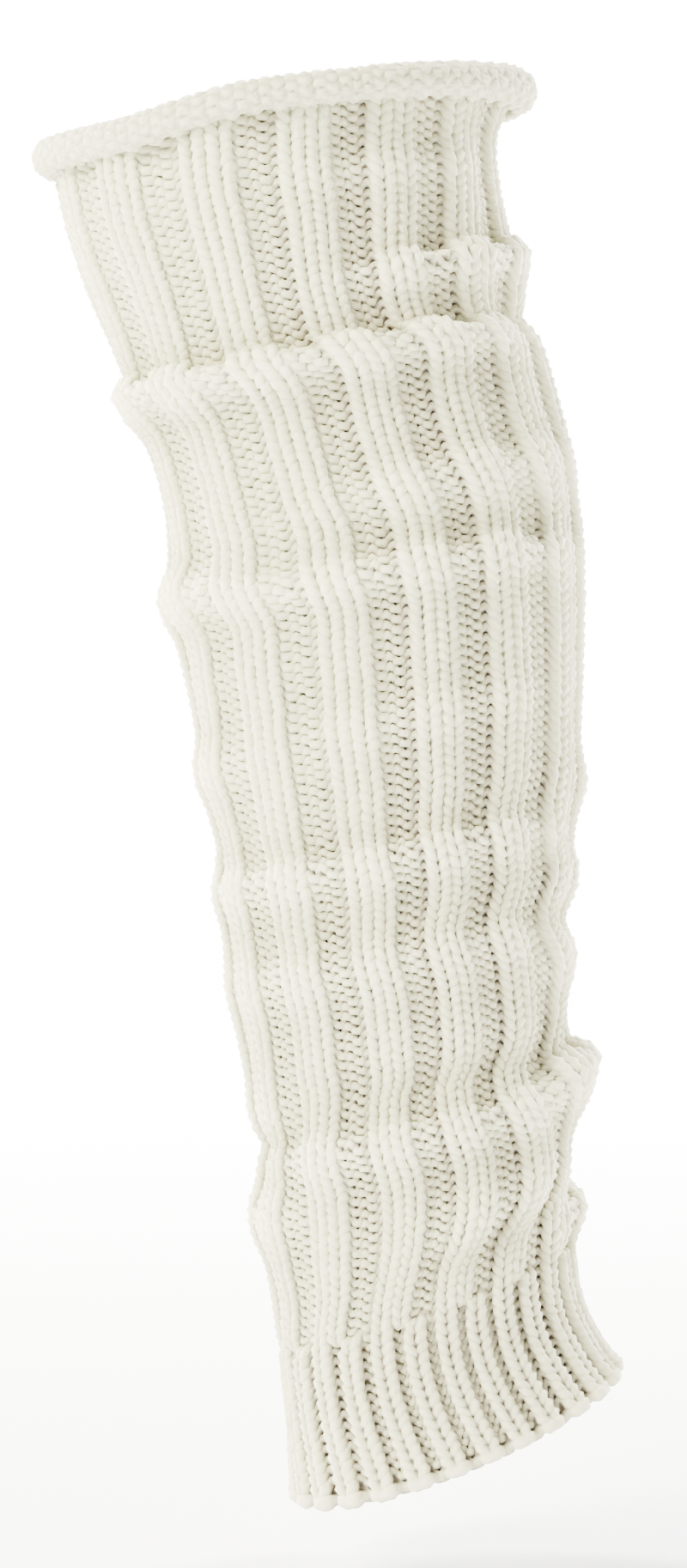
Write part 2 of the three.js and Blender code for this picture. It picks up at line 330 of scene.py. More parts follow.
# %% From a stitch's place to the leg
WALES = 56  # stitches round the leg
ROLL_ROWS, LEG_ROWS, CUFF_ROWS = 8, 124, 15
ALL_ROWS = ROLL_ROWS + LEG_ROWS + CUFF_ROWS
LEG_FROM, CUFF_FROM = ROLL_ROWS, ROLL_ROWS + LEG_ROWS
ROUND_START = 1 + WALES / 2  # a round starts at the middle of the back
CREEP_DEGREES, CREEP_WAVES, CREEP_FROM = 1.9, 3, 20  # how far ribs creep, how often round, and from where
LEG_SPREAD, CUFF_SPREAD = 0.07, 0.08  # how far, in stitches, each side of a knit rib is pushed out
CUFF_SHARES_FROM, CUFF_SHARES_OVER = 345.0, 9.0  # where the leg's spread gives way to the cuff's
SLIP_SOFTENED, SLIP_STEPS = 7.0, 9  # how far up and down a slip is softened, and in how many steps
ROLL_STEP = 45  # between the rows of the table of the rolled edge
CURL_POINTS, WALL_STEP = 60, 0.5  # how finely the curl and the wall are measured


def slipped(down, name):
    """How far the ribs have slipped, with each slip softened into the next."""
    steps = np.linspace(-1, 1, SLIP_STEPS)
    weights = 1 + np.cos(np.pi * steps)
    values = (np.interp(down + step * SLIP_SOFTENED, slips["down"], slips[name]) for step in steps)
    return sum(weight * value for weight, value in zip(weights, values)) / weights.sum()


def wale_angle(wale, down):
    """The angle round the leg of a place counted in stitches."""
    cuff = smooth((down - CUFF_SHARES_FROM) / CUFF_SHARES_OVER)
    spread = wale - LEG_SPREAD * (1 - cuff) * np.cos(np.pi * wale / 2)
    spread = spread - CUFF_SPREAD * cuff * np.cos(np.pi * wale)
    even = level(down, "turn") + (spread - ROUND_START) * 360 / WALES
    angle = even - CREEP_DEGREES * np.sin(np.radians(CREEP_WAVES * (even - CREEP_FROM)))
    return angle + slipped(down, "slip") + slipped(down, "spread") * np.sin(np.radians(angle))


def roll_at(angle, name):
    """A column of the rolled edge at any angle round the leg."""
    turned = np.mod(angle, 360) / ROLL_STEP
    row = np.minimum(turned.astype(int), len(rolls[name]) - 2)
    part = smooth(turned - row)
    return rolls[name][row] * (1 - part) + rolls[name][row + 1] * part


def cloth_line(wales):
    """For each wale, points from the tip of the curl to the hem, and which of them start the leg and cuff."""
    curl_face = np.linspace(180 - ROLL_TURN, 180, CURL_POINTS)
    wall_down = spaced(ROLL_DOWN, HEM_DOWN, WALL_STEP)
    lines = []
    for wale in wales:
        edge_angle = wale_angle(wale, np.full(curl_face.shape, ROLL_DOWN))
        radius, flare, lift = (roll_at(edge_angle, name) for name in ("radius", "flare", "lift"))
        face = np.radians(curl_face)
        curl = wall_point(
            np.full(curl_face.shape, ROLL_DOWN),
            edge_angle,
            flare + radius * (1 + np.cos(face)),
            lift + radius * np.sin(face),
        )
        angle = wale_angle(wale, wall_down)
        near = 1 - smooth((wall_down - ROLL_DOWN) / (2 * (LEG_DOWN - ROLL_DOWN)))
        wall = wall_point(wall_down, angle, near * roll_at(angle, "flare"), near * roll_at(angle, "lift"))
        lines.append(np.concatenate([curl[:-1], wall]))
    leg_at = len(curl_face) - 1 + np.searchsorted(wall_down, RIB_DOWN)
    cuff_at = len(curl_face) - 1 + np.searchsorted(wall_down, CUFF_DOWN)
    return np.stack(lines, 1), leg_at, cuff_at


def chart_points(wales, rows):
    """The middle of the wall at each row and wale, and the cloth's length down each wale."""
    lines, leg_at, cuff_at = cloth_line(wales)
    length = np.concatenate(
        [np.zeros((1, lines.shape[1])), np.cumsum(np.linalg.norm(np.diff(lines, axis=0), axis=2), axis=0)]
    )
    points = np.empty((len(rows), len(wales), 3))
    for w in range(len(wales)):
        stations = [length[0, w], length[leg_at, w], length[cuff_at, w], length[-1, w]]
        wanted = np.interp(rows, [0, LEG_FROM, CUFF_FROM, ALL_ROWS], stations)
        for axis in range(3):
            points[:, w, axis] = np.interp(wanted, length[:, w], lines[:, w, axis])
    return points, length[-1]


_, cloth_length = chart_points(np.arange(0, WALES, 4.0), spaced(0, ALL_ROWS, 1.0))
print("cloth from tip to hem:", round(cloth_length.min()), "to", round(cloth_length.max()), "mm,")
print("a row is", round(cloth_length.mean() / ALL_ROWS, 2), "mm")

# %% [markdown]
# Knit stitches come forward and purl stitches draw back, which is what makes ribs. So the chart's middle
# surface waves in and out, two stitches at a time in the leg and one at a time in the cuff. The rolled edge
# is all knit, and lies smooth. Where the cloth is pulled over a sharp crest, its ribs open and lie flatter.
#
# Each point of the chart also keeps the way out of the cloth there, how much room the stitch has across,
# since wool swells into the room it gets, and how far it stands out from the cloth above and below it. The
# last of these is its crest: folds and ribs catch the light, so the wool is painted paler on crests and
# darker in the hollows, as painted highlight and painted shade.

# %% The chart as a mesh
LEG_RAISE, CUFF_RAISE = 2.5, 3.2  # from the channel to the top of a rib
LEG_SQUARE, CUFF_SQUARE = 2.2, 1.3  # how much squarer a rib is than a plain wave
CUFF_WIDER, CUFF_DEEPER = 0.1, 0.15  # how much the cuff's knit ribs are widened, and the whole of it drawn in
USUAL_WALE = 6.0  # how wide a stitch is that has its usual room
CHART_ACROSS, CHART_DOWN = 4, 2  # points for each stitch and row
CHART_SPARE = 1  # wales beyond one full turn on each side, for the joins
CREST_SPAN = 7  # rows up and down that a crest or hollow is measured against
CREST_LIMIT = 5  # a crest or hollow counts no more than this
# the crest is painted into the wool's colour: paler on crests as painted highlight, darker in hollows as
# painted shade
FOLDS_COUNT, RIBS_COUNT = 3.0, 0.2  # how much a fold's height counts, and a rib's
RIBS_FLATTEN = 0.6  # how much of a rib's height goes where the cloth is pulled over a sharp crest
FLATTEN_FROM, FLATTEN_OVER = 2.5, 2.5  # the crest at which that starts, and how much more ends it
# the rolled edge gets the painted highlight of a crest all over
ROLL_CREST = 1.6  # the rolled edge stands out from everything, so it counts as a crest all over


def rib_wave(wale, row):
    """How far the middle surface stands out, in the pattern of the row."""
    two = np.clip(LEG_SQUARE * np.sin(np.pi * wale / 2), -1, 1)
    one = np.clip(CUFF_SQUARE * np.sin(np.pi * wale) + CUFF_WIDER, -1, 1)
    leg = smooth((row - LEG_FROM + 1) / 2)
    cuff = smooth((row - CUFF_FROM + 1) / 2)
    return leg * ((1 - cuff) * two * LEG_RAISE + cuff * (one - CUFF_DEEPER) * CUFF_RAISE) / 2


def outwards(points):
    """Unit directions out of a grid of points."""
    way = np.cross(np.gradient(points, axis=1), np.gradient(points, axis=0))
    return -way / np.linalg.norm(way, axis=2, keepdims=True)


def crests(points, rows):
    """How far each point stands out from the cloth above and below it, in mm, times FOLDS_COUNT."""
    span = int(round(CREST_SPAN / (rows[1] - rows[0])))
    weights = np.hanning(2 * span + 1)[1:-1]
    spare = len(weights) // 2
    padded = np.pad(points, ((spare, spare), (0, 0), (0, 0)), mode="edge")
    around = sum(w * padded[k : k + len(rows)] for k, w in enumerate(weights)) / weights.sum()
    folds = np.clip(((points - around) * outwards(points)).sum(2) * FOLDS_COUNT, -CREST_LIMIT, CREST_LIMIT)
    rolled = 1 - smooth((rows[:, None] - ROLL_ROWS + 1) / 2)
    return folds * (1 - rolled) + rolled * ROLL_CREST


def cloth_grid(wales, rows):
    """The waving middle surface: its points, the ways out of it, the stitches' room, and its crests."""
    points, _ = chart_points(wales, rows)
    room = np.linalg.norm(np.gradient(points, wales, axis=1), axis=2) / USUAL_WALE
    crest = crests(points, rows)
    flattened = RIBS_FLATTEN * smooth((crest - FLATTEN_FROM) / FLATTEN_OVER)
    wave = rib_wave(wales[None, :], rows[:, None]) * (1 - flattened)
    points = points + outwards(points) * wave[..., None]
    return points, outwards(points), room, crest + wave * RIBS_COUNT


def grid_faces(tall, wide):
    """Quads between neighbouring rows and columns."""
    a = np.arange(tall - 1)[:, None] * wide + np.arange(wide - 1)[None, :]
    return np.stack([a, a + wide, a + wide + 1, a + 1], -1).reshape(-1, 4)


def new_object(name, points, faces):
    """An object from points in millimetres."""
    mesh = bpy.data.meshes.new(name)
    mesh.from_pydata((points.reshape(-1, 3) * MM).tolist(), [], faces.tolist())
    made = bpy.data.objects.new(name, mesh)
    bpy.context.collection.objects.link(made)
    return made


def corner_places(mesh):
    """The vertex at each corner of each face."""
    corners = np.empty(len(mesh.loops), dtype=np.int64)
    mesh.loops.foreach_get("vertex_index", corners)
    return corners


chart_wales = spaced(-CHART_SPARE, WALES + CHART_SPARE, 1 / CHART_ACROSS)
chart_rows = spaced(0, ALL_ROWS, 1 / CHART_DOWN)
chart_at, chart_out, chart_room, chart_crest = cloth_grid(chart_wales, chart_rows)
chart = new_object("knitting_chart", chart_at, grid_faces(*chart_at.shape[:2]))
across = (chart_wales[None, :] + CHART_SPARE) / (WALES + 2 * CHART_SPARE)
place = np.stack(np.broadcast_arrays(across, chart_rows[:, None] / ALL_ROWS), -1).reshape(-1, 2)
chart.data.uv_layers.new(name="place").data.foreach_set("uv", place[corner_places(chart.data)].ravel())
chart.data.attributes.new("outward", "FLOAT_VECTOR", "POINT").data.foreach_set("vector", chart_out.ravel())
for name, values in (("room", chart_room), ("crest", chart_crest)):
    chart.data.attributes.new(name, "FLOAT", "POINT").data.foreach_set("value", values.ravel())
print("chart:", chart_at.shape[1], "by", chart_at.shape[0], "points")
print("room for a stitch, from", round(chart_room.min(), 2), "to", round(chart_room.max(), 2))
print("hollows and crests, from", round(chart_crest.min(), 1), "to", round(chart_crest.max(), 1), "mm")

# %% [markdown]
# ## A node tree that knits
#
# Every stitch is the same loop of yarn: it comes in at the back, goes down one leg at the front, turns over
# its head at the back, climbs the other leg and goes on to the next stitch. Turned back to front, the same
# loop is a purl stitch. One formula in three waves says that path, so Geometry Nodes can draw thousands of
# stitches from a single line of points, and there is no copy to join to the next.
#
# Spun wool is twisted, and the twist leans its loops. In a knit stitch both legs then lean one way, like the
# strokes of a slanted V, so the knit side of the loop has no sway of its own. In a purl stitch the small
# waves lean, and each row sits a little to one side of the row above.
#
# Node maths is easier to read as sums, so a small class lets a socket be added and multiplied.


# %% Sums for node trees
class Flow:
    """A value in a node tree."""

    def __init__(self, tree, socket):
        self.tree, self.socket = tree, socket

    def math(self, operation, *others):
        node = self.tree.nodes.new("ShaderNodeMath")
        node.operation = operation
        for slot, term in zip(node.inputs, (self, *others)):
            join(self.tree, term, slot)
        return Flow(self.tree, node.outputs[0])

    def __add__(self, other):
        return self.math("ADD", other)

    def __sub__(self, other):
        return self.math("SUBTRACT", other)

    def __mul__(self, other):
        return self.math("MULTIPLY", other)

    def __truediv__(self, other):
        return self.math("DIVIDE", other)

    def __rsub__(self, other):
        return (self * -1) + other

    __radd__, __rmul__ = __add__, __mul__


def join(tree, value, slot):
    """Feeds a socket from a value or a link."""
    if isinstance(value, Flow):
        tree.links.new(value.socket, slot)
    elif value is not None:
        slot.default_value = value


def node(tree, kind, settings=None, inputs=None, out=0):
    """Adds any node: its settings first, then the values or links of its sockets."""
    made = tree.nodes.new(kind)
    for name, value in (settings or {}).items():
        setattr(made, name, value)
    for key, value in (inputs or {}).items():
        join(tree, value, made.inputs[key])
    return Flow(tree, made.outputs[out])


print("a Flow can be added, subtracted, multiplied and divided")

# %% [markdown]
# The tree counts points along the yarn. A point's count, divided by the points in a stitch, is its place in
# stitches; whole turns of the tube give the row. The yarn is one long spiral, as in any tube knitted in the
# round. Only the last row is a closed ring, where the stitches are cast off and their heads turn forward.
#
# Sample UV Surface finds each place on the chart. Curve to Mesh then makes the line a round yarn, and its
# Scale input makes the yarn thicker where the stitch has room.

# %% The tree
YARN_INPUTS = {
    "Chart": "NodeSocketObject",
    "First row": "NodeSocketFloat",
    "Rows per round": "NodeSocketFloat",
    "Stitches": "NodeSocketInt",
    "Points per stitch": "NodeSocketInt",
    "Sides": "NodeSocketInt",
    "Repeat": "NodeSocketFloat",
    "Knit in repeat": "NodeSocketFloat",
    "Loop height": "NodeSocketFloat",
    "Loop sway": "NodeSocketFloat",
    "Knit sway": "NodeSocketFloat",
    "Loop depth": "NodeSocketFloat",
    "Purl slant": "NodeSocketFloat",
    "Purl shift": "NodeSocketFloat",
    "Heads forward": "NodeSocketFloat",
    "Yarn radius": "NodeSocketFloat",
    "Knit fullness": "NodeSocketFloat",
    "Unevenness": "NodeSocketFloat",
    "Wool": "NodeSocketMaterial",
}
TURN_OVER = 0.3  # the share of a stitch over which the yarn passes from one kind of stitch to the next
SQUEEZED, SWOLLEN = 0.86, 1.18  # the least and most that room changes the yarn's radius
LEG_SWELL = 0.09  # how much fuller the yarn is in a loop's legs than in its head
WAVER_PACE, STRAY_PACE, STRAY_START = 0.37, 2.1, 50  # how quickly loops change size, and stray to the side


def knitting_tree():
    """The node tree that leads one stretch of yarn over the chart."""
    tree = bpy.data.node_groups.new("Knitting", "GeometryNodeTree")
    tree.interface.new_socket(name="Knitted", in_out="OUTPUT", socket_type="NodeSocketGeometry")
    for name, kind in YARN_INPUTS.items():
        tree.interface.new_socket(name=name, in_out="INPUT", socket_type=kind)
    given = tree.nodes.new("NodeGroupInput")
    take = {name: Flow(tree, given.outputs[name]) for name in YARN_INPUTS}

    index = node(tree, "GeometryNodeInputIndex")
    stitch = index / take["Points per stitch"]
    within = stitch.math("FRACT")
    number = stitch.math("FLOOR")

    def side_of(which):
        """1 for a knit stitch and -1 for a purl one."""
        place_in = which.math("FLOORED_MODULO", take["Repeat"])
        return place_in.math("LESS_THAN", take["Knit in repeat"] - 0.5) * 2 - 1

    def drift(place):
        """Noise along the yarn."""
        return node(tree, "ShaderNodeTexNoise", {"noise_dimensions": "1D"}, {"W": place, "Detail": 1.0})

    here, before, after = side_of(number), side_of(number - 1), side_of(number + 1)
    nearest = within.math("MINIMUM", 1 - within)
    other = before + (after - before) * within.math("GREATER_THAN", 0.5)
    settled = node(
        tree,
        "ShaderNodeMapRange",
        {"interpolation_type": "SMOOTHSTEP"},
        {"Value": nearest, "From Max": TURN_OVER, "To Min": 0.5},
    )
    face = other * (1 - settled) + here * settled

    around = within * math.tau
    wavy = drift(stitch * WAVER_PACE)
    uneven = 1 + (wavy - 0.5) * take["Unevenness"]
    stray = drift(stitch * STRAY_PACE + STRAY_START)
    sway = take["Loop sway"] + (take["Knit sway"] - take["Loop sway"]) * (1 + face) * 0.5
    wale = stitch.math("FLOORED_MODULO", float(WALES)) + (around * 2).math("SINE") * sway
    wale = wale + (stray - 0.5) * take["Unevenness"] * 0.5 - (1 - face) * take["Purl shift"] * 0.5
    row = take["First row"] + stitch / WALES * take["Rows per round"]
    row = row - around.math("COSINE") * take["Loop height"] * uneven
    row = row + (around * 2).math("SINE") * (1 - face) * take["Purl slant"] * 0.5
    depth = (around * 2).math("COSINE") * face * take["Loop depth"] * -1
    depth = depth + (1 - around.math("COSINE")) * face.math("MAXIMUM", 0.0) * take["Heads forward"] * 0.5

    spot = node(
        tree,
        "ShaderNodeCombineXYZ",
        None,
        {
            "X": (wale + CHART_SPARE) / (WALES + 2 * CHART_SPARE),
            "Y": (row / ALL_ROWS).math("MAXIMUM", 0.0).math("MINIMUM", 1.0),
        },
    )
    chart_in = node(tree, "GeometryNodeObjectInfo", None, {"Object": take["Chart"]}, out="Geometry")

    def kept(kind, name):
        return node(tree, "GeometryNodeInputNamedAttribute", {"data_type": kind}, {"Name": name})

    def sampled(kind, value):
        return node(
            tree,
            "GeometryNodeSampleUVSurface",
            {"data_type": kind},
            {"Mesh": chart_in, "Value": value, "UV Map": kept("FLOAT_VECTOR", "place"), "Sample UV": spot},
        )

    def vectors(operation, first, second, out=0):
        return node(tree, "ShaderNodeVectorMath", {"operation": operation}, {0: first, 1: second}, out)

    outward = sampled("FLOAT_VECTOR", kept("FLOAT_VECTOR", "outward"))
    lifted = node(tree, "ShaderNodeVectorMath", {"operation": "SCALE"}, {0: outward, "Scale": depth})
    path = vectors("ADD", sampled("FLOAT_VECTOR", node(tree, "GeometryNodeInputPosition")), lifted)
    room = sampled("FLOAT", kept("FLOAT", "room"))

    def store(geometry, kind, name, value):
        return node(
            tree,
            "GeometryNodeStoreNamedAttribute",
            {"data_type": kind, "domain": "POINT"},
            {"Geometry": geometry, "Name": name, "Value": value},
        )

    points = take["Stitches"] * take["Points per stitch"] + 1
    line = node(tree, "GeometryNodeMeshLine", None, {"Count": points, "Offset": (0.0, 0.0, 1.0)})
    line = store(line, "FLOAT_VECTOR", "heart", path)
    line = store(line, "FLOAT_VECTOR", "way_out", outward)
    line = store(line, "FLOAT", "depth", depth)
    # the crest, which the wool paints as highlight on crests and shade in hollows
    line = store(line, "FLOAT", "crest", sampled("FLOAT", kept("FLOAT", "crest")))
    full = room.math("MAXIMUM", SQUEEZED).math("MINIMUM", SWOLLEN) * (1 + face * take["Knit fullness"])
    full = full * (1 - (around * 2).math("COSINE") * LEG_SWELL) * uneven
    line = store(line, "FLOAT", "full", full)
    heart = kept("FLOAT_VECTOR", "heart")
    line = node(tree, "GeometryNodeSetPosition", None, {"Geometry": line, "Position": heart})
    curve = node(tree, "GeometryNodeMeshToCurve", None, {"Mesh": line})
    ring = node(
        tree,
        "GeometryNodeCurvePrimitiveCircle",
        {"mode": "RADIUS"},
        {"Resolution": take["Sides"], "Radius": take["Yarn radius"]},
    )
    yarn = node(
        tree,
        "GeometryNodeCurveToMesh",
        None,
        {"Curve": curve, "Profile Curve": ring, "Scale": kept("FLOAT", "full"), "Fill Caps": True},
    )
    # how far the yarn's surface stands out of the cloth: the wool is painted darker the deeper it lies, as
    # painted shade between the loops
    from_heart = vectors("SUBTRACT", node(tree, "GeometryNodeInputPosition"), heart)
    raised = vectors("DOT_PRODUCT", from_heart, kept("FLOAT_VECTOR", "way_out"), out="Value")
    proud = (raised + kept("FLOAT", "depth")).math("ABSOLUTE") * (1 / MM)
    yarn = store(yarn, "FLOAT", "proud", proud)
    for name in ("heart", "way_out", "depth", "full"):
        yarn = node(tree, "GeometryNodeRemoveAttribute", None, {"Geometry": yarn, "Name": name})
    yarn = node(tree, "GeometryNodeSetShadeSmooth", None, {"Geometry": yarn})
    yarn = node(tree, "GeometryNodeRealizeInstances", None, {"Geometry": yarn})
    yarn = node(tree, "GeometryNodeSetMaterial", None, {"Geometry": yarn, "Material": take["Wool"]})
    join(tree, yarn, tree.nodes.new("NodeGroupOutput").inputs["Knitted"])
    return tree


knitting = knitting_tree()
print("the tree has", len(knitting.nodes), "nodes")

# %% [markdown]
# ## The wool
#
# The yarn is a soft cream wool, spun from three strands and a little hairy. It is matt, with a bright haze
# where it is seen edge on, which is what sheen is for. Its colour is not even: fibres differ at random. On
# top of that, light and shade are painted into the colour: the wool that lies deep between the loops is
# painted darker and yellower than the wool that stands proud of the cloth, and the crests of folds and ribs
# are painted paler than the hollows, as painted shade and painted highlight.
#
# A picture of wool could be wrapped on the yarn. Here everything comes from two things that the yarn itself
# carries, its length and the way round it, so that the strands twist along each loop.

# %% Cream wool
STRANDS, TWIST = 3, 2.6  # strands in the yarn, and their turns in a stitch
FIBRES, TUFTS, PATCHES = 3.4, 620.0, 34.0  # how fine each is: fibres along the yarn, the others in the cloth


def sheen(shader, weight, roughness, tint):
    """The bright haze of loose hairs."""
    shader.inputs["Sheen Weight"].default_value = weight
    shader.inputs["Sheen Roughness"].default_value = roughness
    shader.inputs["Sheen Tint"].default_value = tint
    shader.inputs["Specular IOR Level"].default_value = 0.2


def mixed(tree, share, first, second):
    """A colour between two others."""
    return node(tree, "ShaderNodeMix", {"data_type": "RGBA"}, {0: share, 6: first, 7: second}, out=2)


def between(tree, value, low, high, to_low=0.0, to_high=1.0):
    """How far a value is from low to high, eased at both ends."""
    return node(
        tree,
        "ShaderNodeMapRange",
        {"interpolation_type": "SMOOTHSTEP"},
        {"Value": value, "From Min": low, "From Max": high, "To Min": to_low, "To Max": to_high},
    )


def noise(tree, where, scale, detail):
    """Soft noise in space."""
    return node(tree, "ShaderNodeTexNoise", None, {"Vector": where, "Scale": scale, "Detail": detail})


def new_material(name):
    """A material, with its node tree and its shader."""
    material = bpy.data.materials.new(name)
    material.use_nodes = True
    return material, material.node_tree, material.node_tree.nodes["Principled BSDF"]


def wool_material(name, bright, plain, deep):
    """Wool with painted light: a painted highlight on crests, painted shade in hollows and deeper painted
    shade between loops.
    """
    material, tree, shader = new_material(name)
    split = tree.nodes.new("ShaderNodeSeparateXYZ")
    join(tree, node(tree, "ShaderNodeUVMap", {"uv_map": "yarn"}), split.inputs[0])
    along, round_it = Flow(tree, split.outputs[0]), Flow(tree, split.outputs[1])
    turned = (round_it + along * (TWIST / STRANDS)) * math.tau
    strand = (turned * STRANDS).math("SINE") * 0.5 + 0.5
    lengthways = node(
        tree,
        "ShaderNodeCombineXYZ",
        None,
        {"X": turned.math("COSINE"), "Y": turned.math("SINE"), "Z": along * 0.9},
    )
    fibre = noise(tree, lengthways, FIBRES, 3.0)
    here = node(tree, "ShaderNodeTexCoord", out="Object")
    tuft = noise(tree, here, TUFTS, 2.0)
    patch = noise(tree, here, PATCHES, 2.0)

    proud = node(tree, "ShaderNodeAttribute", {"attribute_name": "proud"}, out="Fac")
    crest = node(tree, "ShaderNodeAttribute", {"attribute_name": "crest"}, out="Fac")
    # painted highlight and shade: paler on crests and on wool that stands proud, darker on wool that lies
    # deep between the loops; the noise adds random tone
    high = between(tree, crest + (patch - 0.5) * 2.5, -4.5, 4.5)
    top = between(tree, proud + (fibre - 0.5) * 1.4, 1.5, 2.6)
    colour = mixed(tree, high * 0.7 + top * 0.3, plain, bright)
    lying = between(tree, proud + (tuft - 0.5) * 0.9, 0.3, 1.7)
    colour = mixed(tree, lying, deep, colour)
    join(tree, colour, shader.inputs["Base Color"])
    join(tree, between(tree, fibre, 0.3, 0.7, 0.8, 0.98), shader.inputs["Roughness"])
    sheen(shader, 0.3, 0.5, (1.0, 0.98, 0.84, 1))
    relief = strand * 0.45 + fibre * 0.7 + tuft * 0.35
    bump = node(tree, "ShaderNodeBump", None, {"Height": relief, "Distance": 0.45 * MM, "Strength": 0.6})
    join(tree, bump, shader.inputs["Normal"])
    return material


# painted highlight, painted shade in hollows, and deeper painted shade between the loops
PAINTED_LIT_WOOL, PAINTED_SHADED_WOOL, PAINTED_DEEP_SHADE = (0.90, 0.88, 0.66, 1), (0.50, 0.48, 0.325, 1), (0.29, 0.255, 0.205, 1)
wool = wool_material("cream_wool", PAINTED_LIT_WOOL, PAINTED_SHADED_WOOL, PAINTED_DEEP_SHADE)
print("wool:", [round(v, 2) for v in PAINTED_SHADED_WOOL[:3]], "with", STRANDS, "strands")

# %% [markdown]
# Between the loops the eye meets loose fibres and the far side of other loops, deep in shade. A thin backing
# stands for it, with that shade painted on its outer face in a dark mottled colour, and carries the cloth's
# measures. Its inner face is paler: there it stands for the loops themselves, as they are seen inside the
# tube.

# %% The painted shade between the loops
HAZE_TUFTS, HAZE_PATCHES = 900.0, 60.0  # finer than the wool's
# painted shade: the backing's outer face is mottled dark, as the shade between the loops; its inner face has
# the wool's colour
GAP_SHADE_LIGHT, GAP_SHADE_DARK, HAZE_WITHIN = (0.33, 0.285, 0.235, 1), (0.20, 0.17, 0.14, 1), (0.62, 0.59, 0.44, 1)


def painted_gap_shade_material(name, light, dark, within):
    """Painted shade between the loops: mottled from light to dark outside, and the paler colour of wool
    within the tube.
    """
    material, tree, shader = new_material(name)
    here = node(tree, "ShaderNodeTexCoord", out="Object")
    tuft, patch = noise(tree, here, HAZE_TUFTS, 3.0), noise(tree, here, HAZE_PATCHES, 1.0)
    # painted shade between the loops, mottled
    outer = mixed(tree, between(tree, tuft + patch, 0.75, 1.25), dark, light)
    inner_face = node(tree, "ShaderNodeAttribute", {"attribute_name": "inner_face"}, out="Fac")
    join(tree, mixed(tree, inner_face * (tuft * 0.3 + 0.85), outer, within), shader.inputs["Base Color"])
    join(tree, between(tree, tuft, 0.3, 0.7, 0.9, 1.0), shader.inputs["Roughness"])
    sheen(shader, 0.15, 0.6, (1.0, 0.97, 0.9, 1))
    bump = node(tree, "ShaderNodeBump", None, {"Height": tuft, "Distance": 0.5 * MM, "Strength": 0.8})
    join(tree, bump, shader.inputs["Normal"])
    return material


gap_shade = painted_gap_shade_material("painted_shade_between_loops", GAP_SHADE_LIGHT, GAP_SHADE_DARK, HAZE_WITHIN)
print("haze:", GAP_SHADE_DARK[:3], "to", GAP_SHADE_LIGHT[:3], "outside,", HAZE_WITHIN[:3], "within")

# %% [markdown]
# ## Knitting the leg warmer
#
# The rolled edge, the leg and the cuff are one yarn in three patterns. The leg is long, so its yarn is made
# in five stretches, each of which starts where the one before it ends.
#
# Each stretch gets two sets of UVs. "yarn" runs along the yarn and round it, for the strands. "OFBake" lays
# the same yarn out in straight strips that fill a square, so that its colours can be painted on it when the
# model leaves Blender.

# %% The knitter
POINTS, SIDES = 9, 6  # points along a stitch, and round the yarn
SEGMENT, GIRTH = 1.35, 9.8  # a segment's length and the yarn's girth, which set the strips' shape
STRIP_ENDS, STRIP_GAP = 0.001, 0.05  # how far a strip keeps from the square's sides, and from the next strip
CAP = 0.4  # an end cap's radius, as a share of a strip
ids = {item.name: item.identifier for item in knitting.interface.items_tree if item.in_out == "INPUT"}


def wind_uvs(mesh, segments):
    """Gives a yarn its two sets of UVs."""
    corners = corner_places(mesh)
    sizes = np.empty(len(mesh.polygons), dtype=np.int64)
    mesh.polygons.foreach_get("loop_total", sizes)
    wall = np.repeat(sizes == 4, sizes)
    segment, side = (corners[wall] // SIDES).reshape(-1, 4), (corners[wall] % SIDES).reshape(-1, 4)
    wraps = (side.max(1) == SIDES - 1) & (side.min(1) == 0)
    side[wraps] = np.where(side[wraps] == 0, SIDES, side[wraps])
    yarn, strips = np.zeros((len(corners), 2)), np.zeros((len(corners), 2))
    yarn[wall, 0], yarn[wall, 1] = segment.ravel() / POINTS, side.ravel() / SIDES

    rows = int(round(math.sqrt(segments * SEGMENT / GIRTH)))
    per_row = math.ceil(segments / rows)
    first = segment.min(1, keepdims=True)
    strips[wall, 0] = ((first % per_row + segment - first) / per_row).ravel()
    strips[wall, 0] = strips[wall, 0] * (1 - 2 * STRIP_ENDS) + STRIP_ENDS
    strip_side = STRIP_GAP + (1 - 2 * STRIP_GAP) * side / SIDES
    strips[wall, 1] = ((first // per_row + strip_side) / (rows + 1)).ravel()
    turn = corners[~wall] % SIDES * math.tau / SIDES
    far_end = corners[~wall] >= SIDES
    cap = CAP / (rows + 1)
    strips[~wall, 0] = cap * (1.5 + np.cos(turn)) + np.where(far_end, 4 * cap, 0)
    strips[~wall, 1] = (rows + 0.5) / (rows + 1) + cap * np.sin(turn)
    for name, values in (("yarn", yarn), ("OFBake", strips)):
        mesh.uv_layers.new(name=name).data.foreach_set("uv", values.ravel())


def knit(name, first_row, rows, **sizes):
    """One stretch of the yarn, as a plain mesh."""
    settings = {
        "Chart": chart,
        "First row": float(first_row),
        "Rows per round": 1.0,
        "Stitches": rows * WALES,
        "Points per stitch": POINTS,
        "Sides": SIDES,
        "Wool": wool,
        **sizes,
    }
    start = bpy.data.objects.new(name + "_start", bpy.data.meshes.new(name + "_start"))
    bpy.context.collection.objects.link(start)
    modifier = start.modifiers.new("knit", "NODES")
    modifier.node_group = knitting
    for key, value in settings.items():
        modifier[ids[key]] = value
    ready = start.evaluated_get(bpy.context.evaluated_depsgraph_get())
    mesh = bpy.data.meshes.new_from_object(ready)
    mesh.name = name
    wind_uvs(mesh, settings["Stitches"] * POINTS)
    piece = bpy.data.objects.new(name, mesh)
    bpy.context.collection.objects.link(piece)
    bpy.data.objects.remove(start)
    mesh.calc_loop_triangles()
    print(name, len(mesh.loop_triangles), "triangles")
    return piece


print("a stitch has", POINTS, "points with", SIDES, "sides")

